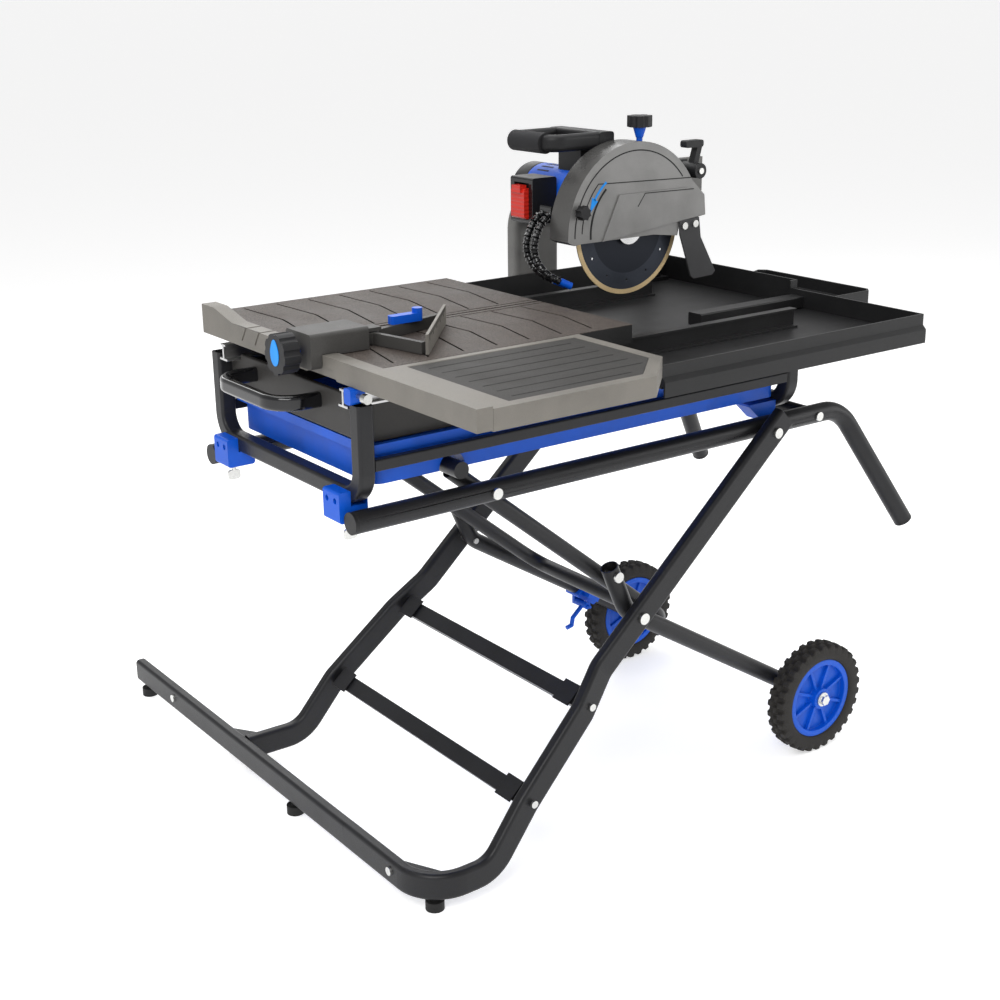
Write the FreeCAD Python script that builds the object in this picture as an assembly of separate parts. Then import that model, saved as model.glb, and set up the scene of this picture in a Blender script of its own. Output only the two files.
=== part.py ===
import FreeCAD, Part
import math
import os

# Wet tile saw on a folding wheeled stand, in millimetres.
# While it is modelled, X runs along the cut towards the back, Y = 0 is the blade's plane, Z = 0 is the floor.
# At the end everything is moved so that the origin is at the bottom centre of the bounding box.

V = FreeCAD.Vector

# ---- driving dimensions: stand ----
TUBE_R = 19.0
TUBE_WALL = 2.0
TOP_Z = 713.0
TOP_Y = 247.0
TOP_FRONT_X = -590.0
TOP_BEND_X = 548.0
HANDLE_END = (698.0, 305.0, 463.0)
LEG_W = 50.0
LEG_T = 24.0
LEG_Y = 287.0
FOLD_PIVOT = V(321.0, 0.0, TOP_Z)
LEG_PIVOT = V(-11.0, 0.0, 416.0)
LINK_PIVOT = V(-46.0, 0.0, 496.0)
YOKE_PIVOT = V(-318.0, 0.0, TOP_Z)
WHEEL_LEG_R = 17.0
WHEEL_LEG_Y = 250.0
YOKE_R = 15.0
YOKE_Y = 209.0
YOKE_CORNER = V(129.0, 0.0, 345.0)
YOKE_BAR = V(-381.0, 0.0, 763.0)
AXLE = V(470.0, 0.0, 118.0)
WHEEL_R = 118.0
HUB_R = 84.0
WHEEL_IN = 274.0
WHEEL_OUT = 318.0
BASE_X = -530.0
BASE_Z = 48.0
BASE_FAR = 830.0
CAP_T = 5.0
RUNG_1 = V(-152.0, 290.5, 286.0)
RUNG_2 = V(-305.0, 316.6, 152.0)
PIN_R = 5.0
PIN_GAP = 0.06
BODY_GAP = 0.4

# ---- driving dimensions: saw base ----
FRAME_FRONT = -563.0
FRAME_BACK = 405.0
FRAME_Y = 241.0
FRAME_TUBE = 30.0
FRAME_TOP = 905.0
RAIL_Y = 208.0
RAIL_LOW = 895.0
RAIL_HIGH = 925.0
RAIL_SPLIT = -30.0
RAIL_BACK = 445.0
PAN_RIM = 830.0
PAN_LOW = 760.0
PAN_ARCH = 26.0
TRAY_X0 = -75.0
TRAY_X1 = 592.0
TRAY_NEAR = -415.0
TRAY_FAR = 350.0
TRAY_FLOOR = 884.0
TRAY_RIM = 925.0
TRAY_WALL_TOP = 940.0
TRAY_STEP_Y = -60.0
TRAY_STEP_X = 608.0
REAR_TRAY_X1 = 782.0

# ---- driving dimensions: table and guide ----
TABLE_TOP = 965.0
TABLE_LOW = 931.0
TABLE_X0 = -546.0
TABLE_X1 = -22.0
TABLE_NEAR = -268.0
TABLE_FAR = 306.0
SEAM = 1.0
FENCE_X0 = -575.0
FENCE_TOP = 986.0
FENCE_LOW = 933.0
FENCE_NEAR = -574.0
FENCE_FAR = 287.0
WING_BACK = -145.0
SLOT_W = 6.0
GUIDE_Y = -107.0
KNOB_FRONT = -640.0

# ---- driving dimensions: head ----
ARBOR = V(194.0, 0.0, 1080.0)
BLADE_R = 127.0
BLADE_T = 2.2
RIM_DEPTH = 9.0
GUARD_R = 166.0
GUARD_Y0 = -26.0
GUARD_Y1 = 30.0
MOTOR = V(150.0, 0.0, 1137.0)
MOTOR_R = 54.0
PLUNGE = V(362.0, 0.0, 1178.0)
KNOB_X = 222.0
GUARD_SCREW = V(54.0, 0.0, 1126.0)
HANDLE_Z = 1246.0
HANDLE_NEAR = 44.0
HANDLE_FAR = 176.0

parts = {}


def add(name, shape):
    parts[name] = shape.removeSplitter()


def group(name, shapes):
    parts[name] = Part.Compound(shapes)


def block(x0, x1, y0, y1, z0, z1):
    return Part.makeBox(x1 - x0, y1 - y0, z1 - z0, V(x0, y0, z0))


def rod(start, end, radius):
    line = end - start
    return Part.makeCylinder(radius, line.Length, start, line)


def ring(start, end, outer, inner):
    return rod(start, end, outer).cut(rod(start, end, inner))


def y_rod(at, y0, y1, radius):
    return rod(V(at.x, y0, at.z), V(at.x, y1, at.z), radius)


def y_ring(at, y0, y1, outer, inner):
    return y_rod(at, y0, y1, outer).cut(y_rod(at, y0, y1, inner))


def round_edges(shape, radius, axis):
    """Fillets every straight edge that runs along the given axis."""
    picked = []
    for edge in shape.Edges:
        if edge.Curve.TypeId == "Part::GeomLine" and abs(edge.Curve.Direction.dot(axis)) > 0.999:
            picked.append(edge)
    return shape.makeFillet(radius, picked)


def soft_block(x0, x1, y0, y1, z0, z1, radius, axis):
    return round_edges(block(x0, x1, y0, y1, z0, z1), radius, axis)


def prism(points, axis, depth):
    """A flat outline pushed along an axis; the outline is closed here."""
    wire = Part.makePolygon(points + [points[0]])
    return Part.Face(wire).extrude(axis * depth)


def bent_path(points, radii):
    """Straight runs joined by tangent arcs, one radius per inner point."""
    edges = []
    start = points[0]
    for index in range(1, len(points) - 1):
        corner = points[index]
        back = (points[index - 1] - corner).normalize()
        ahead = (points[index + 1] - corner).normalize()
        half_turn = (math.pi - back.getAngle(ahead)) / 2
        radius = radii[index - 1]
        reach = radius * math.tan(half_turn)
        first = corner + back * reach
        last = corner + ahead * reach
        bisector = (back + ahead).normalize()
        centre = corner + bisector * (radius / math.cos(half_turn))
        middle = centre - bisector * radius
        edges.append(Part.LineSegment(start, first).toShape())
        edges.append(Part.Arc(first, middle, last).toShape())
        start = last
    edges.append(Part.LineSegment(start, points[-1]).toShape())
    return Part.Wire(edges)


def circle_wire(centre, axis, radius):
    return Part.Wire([Part.makeCircle(radius, centre, axis)])


def tube(points, radii, outer, wall):
    path = bent_path(points, radii)
    axis = points[1] - points[0]
    skin = path.makePipeShell([circle_wire(points[0], axis, outer)], True, False)
    core = path.makePipeShell([circle_wire(points[0], axis, outer - wall)], True, False)
    return skin.cut(core)


def oval_wire(centre, across, up, width, height, corner):
    """Rounded rectangle: width runs along across, height along up."""
    half_w = width / 2 - corner
    half_h = height / 2 - corner
    edges = []
    for sign_u, sign_v, turn in ((1, 1, 0), (-1, 1, 90), (-1, -1, 180), (1, -1, 270)):
        hub = centre + across * (sign_u * half_w) + up * (sign_v * half_h)
        spots = []
        for angle in (turn, turn + 45, turn + 90):
            bearing = math.radians(angle)
            spots.append(hub + across * (corner * math.cos(bearing)) + up * (corner * math.sin(bearing)))
        edges.append(Part.Arc(spots[0], spots[1], spots[2]).toShape())
    joined = []
    for index, arc in enumerate(edges):
        joined.append(arc)
        following = edges[(index + 1) % 4]
        joined.append(Part.LineSegment(arc.Vertexes[-1].Point, following.Vertexes[0].Point).toShape())
    return Part.Wire(Part.__sortEdges__(joined))


def bar(points, radii, across, width, height, corner, wall):
    """Hollow rounded-rectangle tube; across is the direction of its width at the first point."""
    path = bent_path(points, radii)
    along = (points[1] - points[0]).normalize()
    side = (across - along * across.dot(along)).normalize()
    up = along.cross(side)
    skin = path.makePipeShell([oval_wire(points[0], side, up, width, height, corner)], True, False)
    inner = oval_wire(points[0], side, up, width - 2 * wall, height - 2 * wall, corner - wall)
    return skin.cut(path.makePipeShell([inner], True, False))


def both_sides(maker):
    """Builds one piece per side: near is -1, far is +1."""
    return [("near", -1, maker(-1)), ("far", 1, maker(1))]


def tilted_block(centre, long_axis, length, thick_axis, thickness, height):
    """A plate centred at a point, length along long_axis, thickness along thick_axis."""
    up = long_axis.cross(thick_axis)
    corner = centre - long_axis * (length / 2) - thick_axis * (thickness / 2) - up * (height / 2)
    points = [corner, corner + long_axis * length]
    points.append(points[1] + up * height)
    points.append(corner + up * height)
    return prism(points, thick_axis, thickness)


# ------------------------------------------------------------------ stand

def top_tube(side):
    y = side * TOP_Y
    end = V(HANDLE_END[0], side * HANDLE_END[1], HANDLE_END[2])
    points = [V(TOP_FRONT_X, y, TOP_Z), V(TOP_BEND_X, y, TOP_Z), end]
    shape = tube(points, [75.0], TUBE_R, TUBE_WALL)
    for pivot in (FOLD_PIVOT, YOKE_PIVOT):
        shape = shape.cut(y_rod(pivot, y - 40, y + 40, PIN_R))
    return shape


def end_plug(mouth, inward, radius):
    """Plastic plug: a domed cap outside the tube and a stub inside it."""
    cap = Part.makeCylinder(radius, 6, mouth, inward * -1)
    stub = Part.makeCylinder(radius - TUBE_WALL, 14, mouth, inward)
    return cap.fuse(stub)


def make_top_frame():
    caps = []
    bolts = []
    for name, side, shape in both_sides(top_tube):
        add("top_tube_" + name, shape)
        y = side * TOP_Y
        end = V(HANDLE_END[0], side * HANDLE_END[1], HANDLE_END[2])
        bend = V(TOP_BEND_X, y, TOP_Z)
        caps.append(end_plug(V(TOP_FRONT_X, y, TOP_Z), V(1, 0, 0), TUBE_R))
        caps.append(end_plug(end, (bend - end).normalize(), TUBE_R))
        outer = side * (TOP_Y + TUBE_R)
        bolts.append(y_rod(V(471, 0, TOP_Z), outer, outer + side * 4, 9))
        bolts.append(pivot_bolt(FOLD_PIVOT, side, TOP_Y - 22, LEG_Y + LEG_T / 2 + BODY_GAP))
        bolts.append(pivot_bolt(YOKE_PIVOT, side, YOKE_Y - YOKE_R - 3, TOP_Y + TUBE_R))
    group("tube_end_caps", caps)
    group("stand_pivot_bolts", bolts)
    inside = TOP_Y - TUBE_R
    add("rear_cross_tube", y_ring(V(471, 0, TOP_Z), -inside, inside, 14, 12))


def pivot_bolt(pivot, side, inner, outer):
    """Shank from inner to outer with a domed head outside."""
    shank = y_rod(pivot, side * inner, side * outer, PIN_R)
    head = y_rod(pivot, side * outer, side * (outer + 5), 10)
    return shank.fuse(head)


def leg_points(side):
    return [
        V(349, side * LEG_Y, 738),
        V(-102, side * LEG_Y, 334.5),
        V(-165, side * 312, 277),
        V(-310, side * 332, 148),
        V(-392, side * 338, BASE_Z),
    ]


def near_leg():
    points = leg_points(-1)
    points.append(V(BASE_X, -340, BASE_Z))
    points.append(V(BASE_X, -80, BASE_Z))
    return bar(points, [60, 60, 60, 70, 76], V(0, 1, 0), LEG_T, LEG_W, 8, TUBE_WALL)


def far_leg():
    points = leg_points(1)
    points.append(V(BASE_X + LEG_T / 2 + 0.3, 340, BASE_Z))
    return bar(points, [60, 60, 60, 70], V(0, 1, 0), LEG_T, LEG_W, 8, TUBE_WALL)


def leg_holes(shape, side):
    y = side * LEG_Y
    shape = shape.cut(y_rod(FOLD_PIVOT, y - 30, y + 30, PIN_R + PIN_GAP))
    return shape.cut(y_rod(LEG_PIVOT, y - 30, y + 30, PIN_R + 1))


def make_legs():
    near = near_leg()
    far = far_leg()
    add("foot_leg_near", leg_holes(near, -1))
    add("foot_leg_far", leg_holes(far, 1))
    ends = [V(BASE_X, -80, BASE_Z), V(BASE_X, BASE_FAR, BASE_Z)]
    half_w = LEG_T / 2
    cap = soft_block(BASE_X - half_w, BASE_X + half_w, BASE_FAR, BASE_FAR + CAP_T, BASE_Z - 25, BASE_Z + 25, 8, V(0, 1, 0))
    add("base_crossbar", bar(ends, [], V(1, 0, 0), LEG_T, LEG_W, 8, TUBE_WALL).fuse(cap))
    plates = []
    back = BASE_X + LEG_T / 2 + 0.3
    for low, high, edge, leg in ((-324, -200, -330, near), (352, 450, 350, far)):
        outline = [V(back, high, BASE_Z), V(-452, edge, BASE_Z), V(back + 14, low + 10, BASE_Z)]
        plates.append(prism(outline, V(0, 0, 1), 4).cut(leg))
    group("gusset_plates", [max(plate.Solids, key=lambda item: item.Volume) for plate in plates])
    make_rungs()
    make_feet()


def make_rungs():
    slope = (LEG_PIVOT - FOLD_PIVOT).normalize()
    normal = slope.cross(V(0, 1, 0))
    bolts = []
    sleeves = []
    for number, spot in ((1, RUNG_1), (2, RUNG_2)):
        middle = V(spot.x, 0, spot.z)
        rung = tilted_block(middle, V(0, 1, 0), 2 * spot.y - 1, slope, 32, 18)
        hollow = tilted_block(middle, V(0, 1, 0), 2 * spot.y, slope, 28, 14)
        add("rung_%d" % number, rung.cut(hollow))
        for side in (-1, 1):
            outer = side * (spot.y + LEG_T + 8)
            bolts.append(y_rod(spot, outer, outer + side * 4, 7))
            sleeves.append(rung_plate(spot, side, slope, normal))
    for y in (-240, 640):
        face = BASE_X - LEG_T / 2 - 0.1
        bolts.append(rod(V(face, y, BASE_Z + 4), V(face - 4, y, BASE_Z + 4), 8))
    group("rung_plates", sleeves)
    group("leg_bolts", bolts)


def rung_plate(spot, side, slope, normal):
    """Folded plate under the leg that the rung is bolted to."""
    centre = V(spot.x, side * (spot.y - 30), spot.z) - normal * 12.5
    return tilted_block(centre, V(0, 1, 0), 44, slope, 44, 3)


def make_feet():
    feet = []
    for x, y in ((-500, -318), (BASE_X, 123), (BASE_X, 796)):
        pad = Part.makeCylinder(17, 18, V(x, y, 0))
        stem = Part.makeCylinder(9, BASE_Z - 25 - 18.5, V(x, y, 18))
        feet.append(pad.fuse(stem))
    group("rubber_feet", feet)


def wheel_leg(side):
    y = side * WHEEL_LEG_Y
    up = (LINK_PIVOT - LEG_PIVOT).normalize()
    out = (AXLE - LEG_PIVOT).normalize()
    points = [LINK_PIVOT + up * 18, LEG_PIVOT, AXLE + out * 17]
    placed = [V(point.x, y, point.z) for point in points]
    shape = tube(placed, [60], WHEEL_LEG_R, TUBE_WALL)
    shape = shape.cut(y_rod(LEG_PIVOT, y - 20, y + 20, PIN_R + 1 + PIN_GAP))
    shape = shape.cut(y_rod(LINK_PIVOT, y - 20, y + 20, PIN_R))
    return shape.cut(y_rod(AXLE, y - 20, y + 20, 6))


def make_wheel_legs():
    pins = []
    links = []
    axles = []
    for name, side, shape in both_sides(wheel_leg):
        add("wheel_leg_" + name, shape)
        pin = y_rod(LEG_PIVOT, side * 231, side * 299.5, PIN_R + 1)
        head = y_rod(LEG_PIVOT, side * 299.5, side * 305, 11)
        washer = y_ring(LEG_PIVOT, side * 267.5, side * 274.5, 10, PIN_R + 1)
        pins.append(pin.fuse(head).fuse(washer))
        shank = y_rod(LINK_PIVOT, side * 234, side * 267, PIN_R)
        links.append(shank.fuse(y_rod(LINK_PIVOT, side * 267, side * 272, 10)))
        axle = y_rod(AXLE, side * 232, side * 325, 6)
        washer = y_rod(AXLE, side * 319.5, side * 322, 15)
        axles.append(axle.fuse(washer).fuse(hex_head(AXLE, side * 322, side * 8, 11)))
    group("leg_pivot_bolts", pins)
    group("link_bolts", links)
    group("axle_bolts", axles)


def hex_head(at, y, height, radius):
    points = []
    for step in range(6):
        angle = math.radians(60 * step)
        points.append(V(at.x + radius * math.cos(angle), y, at.z + radius * math.sin(angle)))
    return prism(points, V(0, 1, 0), height)


def make_wheels():
    for name, side in (("near", -1), ("far", 1)):
        tyre = y_ring(AXLE, side * WHEEL_IN, side * WHEEL_OUT, WHEEL_R, HUB_R)
        add("tyre_" + name, tyre)
        rim = y_ring(AXLE, side * (WHEEL_IN + 2), side * (WHEEL_OUT - 4), HUB_R, HUB_R - 12)
        web = y_ring(AXLE, side * (WHEEL_IN + 14), side * (WHEEL_OUT - 16), HUB_R - 11, 12)
        boss = y_ring(AXLE, side * (WHEEL_IN + 1), side * (WHEEL_OUT + 1), 22, 6 + PIN_GAP)
        hub = rim.fuse(web).fuse(boss)
        for step in range(8):
            angle = math.radians(45 * step + 22.5)
            spoke = block(18, HUB_R - 8, -3, 3, 0, 26)
            spoke.rotate(V(0, 0, 0), V(0, 0, 1), math.degrees(angle))
            spoke.rotate(V(0, 0, 0), V(1, 0, 0), 90)
            spoke.translate(V(AXLE.x, side * 296 + 13, AXLE.z))
            hub = hub.fuse(spoke)
        add("hub_" + name, hub)


def make_yoke():
    top = YOKE_BAR - V(-6, 0, 11)
    points = [V(top.x, -YOKE_Y, top.z), V(YOKE_CORNER.x, -YOKE_Y, YOKE_CORNER.z)]
    points.append(V(YOKE_CORNER.x, YOKE_Y, YOKE_CORNER.z))
    points.append(V(top.x, YOKE_Y, top.z))
    cross = y_rod(YOKE_BAR, -248, 248, YOKE_R)
    yoke = tube(points, [45, 45], YOKE_R, TUBE_WALL).cut(cross)
    for side in (-1, 1):
        yoke = yoke.cut(y_rod(YOKE_PIVOT, side * 190, side * 228, PIN_R + PIN_GAP))
    add("yoke", max(yoke.Solids, key=lambda item: item.Volume))
    add("yoke_cross_tube", y_ring(YOKE_BAR, -248, 248, YOKE_R, YOKE_R - TUBE_WALL))
    plugs = []
    for side in (-1, 1):
        mouth = V(YOKE_BAR.x, side * 248, YOKE_BAR.z)
        plugs.append(end_plug(mouth, V(0, -side, 0), YOKE_R))
    group("yoke_plugs", plugs)


def make_latch():
    """Clamp block around the far wheel leg, with a sprung hook lever under it."""
    along = (AXLE - LEG_PIVOT).normalize()
    normal = V(0, 1, 0).cross(along)
    centre = LEG_PIVOT + along * 362
    middle = V(centre.x, WHEEL_LEG_Y, centre.z)
    body = tilted_block(middle, along, 58, V(0, 1, 0), 46, 44)
    body = round_edges(body, 7, V(0, 1, 0))
    arm = tilted_block(middle + along * -2 + V(0, -33, 0), along, 34, V(0, 1, 0), 20, 26)
    bore = rod(middle - along * 60, middle + along * 60, WHEEL_LEG_R + 0.1)
    hinge = V(middle.x, 0, middle.z) + normal * 30 - along * 10
    ear = block(hinge.x - 6, hinge.x + 6, 246, 254, hinge.z - 6, hinge.z + 22)
    add("latch_body", body.fuse([arm, ear]).cut(bore).cut(y_rod(hinge, 240, 260, 3)))
    add("latch_pin", y_rod(hinge, 196, 256, 3))
    barrel = y_ring(hinge, 206, 244, 8, 3 + PIN_GAP)
    stem_end = hinge + V(-30, 0, -26)
    stem = rod(V(hinge.x - 6, 222, hinge.z - 5), V(stem_end.x, 222, stem_end.z), 5)
    hook = rod(V(stem_end.x, 222, stem_end.z), V(stem_end.x - 3, 222, stem_end.z - 17), 5)
    tip = rod(V(stem_end.x - 3, 222, stem_end.z - 17), V(stem_end.x - 17, 222, stem_end.z - 20), 5)
    ball_a = Part.makeSphere(5, V(stem_end.x, 222, stem_end.z))
    ball_b = Part.makeSphere(5, V(stem_end.x - 3, 222, stem_end.z - 17))
    lever = barrel.fuse([stem, ball_a, hook, ball_b, tip])
    add("latch_lever", lever.cut(y_rod(hinge, 190, 260, 3 + PIN_GAP)))


# ------------------------------------------------------------------ saw base

def u_frame(x, top):
    low = TOP_Z + TUBE_R + FRAME_TUBE / 2
    points = [V(x, -FRAME_Y, top), V(x, -FRAME_Y, low), V(x, FRAME_Y, low), V(x, FRAME_Y, top)]
    return bar(points, [46, 46], V(1, 0, 0), FRAME_TUBE, FRAME_TUBE, 6, TUBE_WALL)


def make_saw_frame():
    add("front_u_frame", u_frame(FRAME_FRONT, FRAME_TOP))
    add("rear_u_frame", u_frame(FRAME_BACK, TRAY_FLOOR))
    start = FRAME_FRONT + FRAME_TUBE / 2
    end = FRAME_BACK - FRAME_TUBE / 2
    for name, side in (("near", -1), ("far", 1)):
        y0, y1 = sorted((side * 238, side * 254))
        rail = soft_block(start, end, y0, y1, 792, 812, 3, V(1, 0, 0))
        add("side_rail_" + name, rail.cut(block(start - 1, end + 1, y0 + 2, y1 - 2, 794, 810)))
    make_clamps()


def make_clamps():
    low = TOP_Z + TUBE_R
    front = []
    rear = []
    screws = []
    for side in (-1, 1):
        y0, y1 = sorted((side * 170, side * 222))
        saddle = soft_block(-600, -546, y0, y1, 705, 758, 5, V(0, 1, 0))
        tunnel = block(FRAME_FRONT - 15, FRAME_FRONT + 15, -240, 240, low, low + FRAME_TUBE)
        holes = rod(V(-620, side * 183, 742), V(-590, side * 183, 742), 5)
        holes = holes.fuse(rod(V(-620, side * 208, 742), V(-590, side * 208, 742), 5))
        saddle = saddle.cut(parts["front_u_frame"]).cut(tunnel).cut(holes)
        front.append(max(saddle.Solids, key=lambda item: item.Volume))
        y0, y1 = sorted((side * 186, side * 226))
        foot = block(318, 389.5, y0, y1, 716, 752)
        slope = prism([V(318, y0, 716), V(352, y0, 716), V(318, y0, 748)], V(0, 1, 0), y1 - y0)
        rear.append(foot.cut(slope))
        for x in (-572, 372):
            screws.append(wing_screw(x, side * 206))
    group("front_clamps", front)
    group("rear_clamps", rear)
    group("wing_screws", screws)


def wing_screw(x, y):
    top = 705.0 if x < 0 else 716.0
    stem = Part.makeCylinder(4, 16, V(x, y, top - 16))
    wing = soft_block(x - 12, x + 12, y - 2, y + 2, top - 34, top - 16, 5, V(0, 1, 0))
    return stem.fuse(wing)


def make_pan():
    outer = block(-534, 386, -226, 226, PAN_LOW, PAN_RIM - 6)
    rim = block(-547, 388, -233, 233, PAN_RIM - 16, PAN_RIM)
    shell = round_edges(outer, 18, V(0, 0, 1)).fuse(round_edges(rim, 12, V(0, 0, 1)))
    hollow = round_edges(block(-530, 382, -222, 222, PAN_LOW + 4, PAN_RIM + 1), 14, V(0, 0, 1))
    drain = Part.makeCylinder(12, 10, V(300, 0, PAN_LOW - 1))
    arch = y_rod(YOKE_BAR, -226, 226, PAN_ARCH + 4).common(outer)
    pan = shell.cut(hollow).cut(drain).fuse(arch).cut(y_rod(YOKE_BAR, -240, 240, PAN_ARCH))
    add("water_pan", max(pan.Solids, key=lambda item: item.Volume))
    plug = Part.makeCylinder(12, 6, V(300, 0, PAN_LOW - 1))
    add("drain_plug", plug.fuse(Part.makeCylinder(16, 5, V(300, 0, PAN_LOW - 6))))
    body = Part.makeCylinder(34, 36, V(250, 120, PAN_LOW + 4.2))
    spout = Part.makeCylinder(7, 14, V(250, 138, PAN_LOW + 40))
    add("pump", body.fuse(spout))


def make_deck():
    """Thin shell that carries the rails and closes the space above the pan."""
    wall = 4.0
    outer = block(-541, 386, -216, 216, PAN_RIM + 0.5, RAIL_LOW)
    inner = block(-541 + wall, 386 - wall, -216 + wall, 216 - wall, PAN_RIM, RAIL_LOW + 1)
    notch = block(TRAY_X0 - 1, 400, -230, 230, TRAY_FLOOR - 0.5, RAIL_LOW + 1)
    add("deck_shell", outer.cut(inner).cut(notch))
    panel = soft_block(-552, -542, -224, 224, PAN_RIM + 4, 906, 3, V(0, 1, 0))
    for side in (-1, 1):
        y0, y1 = sorted((side * 190, side * 226))
        panel = panel.cut(block(-560, -540, y0, y1, RAIL_LOW, 910))
    add("front_panel", panel)
    make_bow_handle()


def make_bow_handle():
    middle = 25.0
    reach = -628.0
    points = [V(-552, middle - 112, 880), V(reach, middle - 112, 880)]
    points += [V(reach, middle + 112, 880), V(-552, middle + 112, 880)]
    path = bent_path(points, [48, 48])
    profile = oval_wire(points[0], V(0, 1, 0), V(0, 0, 1), 20, 26, 7)
    add("bow_handle", path.makePipeShell([profile], True, False))


def i_beam(y, x0, x1, z0, z1):
    flange = 4.0
    web = block(x0, x1, y - 2.5, y + 2.5, z0, z1)
    low = block(x0, x1, y - 14, y + 14, z0, z0 + flange)
    high = block(x0, x1, y - 9, y + 9, z1 - flange, z1)
    return web.fuse(low).fuse(high)


def make_rails():
    for name, side in (("near", -1), ("far", 1)):
        y = side * RAIL_Y
        add("slide_rail_" + name, i_beam(y, -577, RAIL_SPLIT, RAIL_LOW, RAIL_HIGH))
        extension = i_beam(y, RAIL_SPLIT + 0.2, RAIL_BACK, TRAY_FLOOR + 4, RAIL_HIGH)
        add("rail_extension_" + name, extension)
    housing = soft_block(-584, -556, -244, -224, RAIL_LOW + 11, 932, 4, V(1, 0, 0))
    y_axis_bore = rod(V(-570, -250, 920), V(-570, -220, 920), 4 + PIN_GAP)
    add("table_lock_housing", housing.cut(y_axis_bore))
    pin = rod(V(-570, -262, 920), V(-570, -222.5, 920), 4)
    add("table_lock_pin", pin.fuse(rod(V(-570, -274, 920), V(-570, -262, 920), 8)))


def make_tray():
    wall = 4.0
    floor = block(TRAY_X0, TRAY_X1, TRAY_NEAR + 8, TRAY_FAR, TRAY_FLOOR, TRAY_FLOOR + wall)
    step = block(TRAY_X1, TRAY_STEP_X, TRAY_STEP_Y, TRAY_FAR, TRAY_FLOOR, TRAY_FLOOR + wall)
    near_top = block(TRAY_X0, TRAY_X1, TRAY_NEAR + 8, TRAY_NEAR + 8 + wall, TRAY_FLOOR, TRAY_RIM)
    apron = [V(TRAY_X0, TRAY_NEAR + 8, 904), V(TRAY_X0, TRAY_NEAR, 896), V(TRAY_X0, TRAY_NEAR, 870)]
    apron += [V(TRAY_X0, TRAY_NEAR + 4, 870), V(TRAY_X0, TRAY_NEAR + 4, 888), V(TRAY_X0, TRAY_NEAR + 8, 888)]
    skirt = prism(apron, V(1, 0, 0), TRAY_X1 - TRAY_X0)
    front = block(TRAY_X0, TRAY_X0 + wall, TRAY_NEAR + 8, TABLE_NEAR, TRAY_FLOOR, TRAY_RIM)
    back = block(TRAY_X1 - wall, TRAY_X1, TRAY_NEAR + 8, TRAY_STEP_Y, TRAY_FLOOR, TRAY_RIM)
    ledge = block(TRAY_X1 - wall, TRAY_STEP_X, TRAY_STEP_Y - wall, TRAY_STEP_Y, TRAY_FLOOR, TRAY_WALL_TOP)
    back_far = block(TRAY_STEP_X - wall, TRAY_STEP_X, TRAY_STEP_Y, TRAY_FAR, TRAY_FLOOR, TRAY_WALL_TOP)
    far = block(TRAY_X0, TRAY_STEP_X, TRAY_FAR - wall, TRAY_FAR, TRAY_FLOOR, TRAY_WALL_TOP)
    add("splash_tray", floor.fuse([step, near_top, skirt, front, back, ledge, back_far, far]))
    rib = soft_block(300, TRAY_X1 - wall, -102, -66, TRAY_FLOOR + wall, 913, 3, V(1, 0, 0))
    add("tray_rib", rib)
    add("rear_tray", rear_tray(wall))
    brackets = []
    for x in (20, 340):
        for y0, y1 in ((TRAY_NEAR + 30, -216.2), (216.2, TRAY_FAR - 10)):
            brackets.append(block(x, x + 30, y0, y1, TRAY_FLOOR - 12, TRAY_FLOOR))
    group("tray_brackets", brackets)


def rear_tray(wall):
    """Trapezoid tray hung on the back wall of the splash tray."""
    x0 = TRAY_STEP_X
    x1 = REAR_TRAY_X1
    outline = [V(x0, -56, 876), V(x0 + 30, -119, 876), V(x1 - 14, -119, 876), V(x1, -105, 876)]
    outline += [V(x1, 193, 876), V(x1 - 14, 207, 876), V(x0, 150, 876)]
    shell = prism(outline, V(0, 0, 1), 30)
    inset = [V(x0 + wall, -50, 880), V(x0 + 33, -115, 880), V(x1 - 16, -115, 880), V(x1 - wall, -103, 880)]
    inset += [V(x1 - wall, 191, 880), V(x1 - 16, 202, 880), V(x0 + wall, 146, 880)]
    return shell.cut(prism(inset, V(0, 0, 1), 40))


# ------------------------------------------------------------------ sliding table

def make_table():
    plate = block(TABLE_X0, TABLE_X1, TABLE_NEAR, TABLE_FAR, TABLE_LOW + 26, TABLE_TOP)
    skirt = block(TABLE_X0, TABLE_X1, TABLE_NEAR, TABLE_FAR, TABLE_LOW, TABLE_LOW + 26)
    skirt = skirt.cut(block(TABLE_X0 - 1, TABLE_X1 - 6, TABLE_NEAR + 6, TABLE_FAR - 6, TABLE_LOW - 1, 960))
    shape = plate.fuse(skirt)
    shape = shape.cut(block(TABLE_X0 + 26, TABLE_X1 + 1, -SLOT_W / 2, SLOT_W / 2, 948, 970))
    for groove in table_grooves():
        shape = shape.cut(groove)
    add("table_plate", shape)
    runners = []
    glides = []
    for side in (-1, 1):
        y = side * RAIL_Y
        runners.append(block(-500, -60, y - 15, y + 15, TABLE_LOW, TABLE_LOW + 26))
        for x in (-440, -140):
            glide = block(x, x + 60, y - 15, y + 15, 906, 930.9)
            head = block(x - 1, x + 61, y - 9.4, y + 9.4, 920.6, RAIL_HIGH + 0.4)
            neck = block(x - 1, x + 61, y - 3, y + 3, 900, 922)
            glides.append(glide.cut(head).cut(neck))
    group("table_runners", runners)
    group("table_glides", glides)


def table_grooves():
    """Shallow bent channels across the table that drain water off it."""
    channels = []
    for index in range(7):
        x = TABLE_X0 + 40 + index * 68
        for y0, y1, shift in ((24, 290, 26), (-250, -20, 26)):
            points = [V(x, y0, 0), V(x + shift, (y0 + y1) / 2, 0), V(x + shift * 0.7, y1, 0)]
            for first, last in ((points[0], points[1]), (points[1], points[2])):
                channels.append(groove(first, last))
    channels.append(block(TABLE_X0 + 20, TABLE_X1 + 1, 14, 18, 962.5, 970))
    channels.append(block(TABLE_X0 + 20, TABLE_X1 + 1, -18, -14, 962.5, 970))
    return channels


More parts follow.
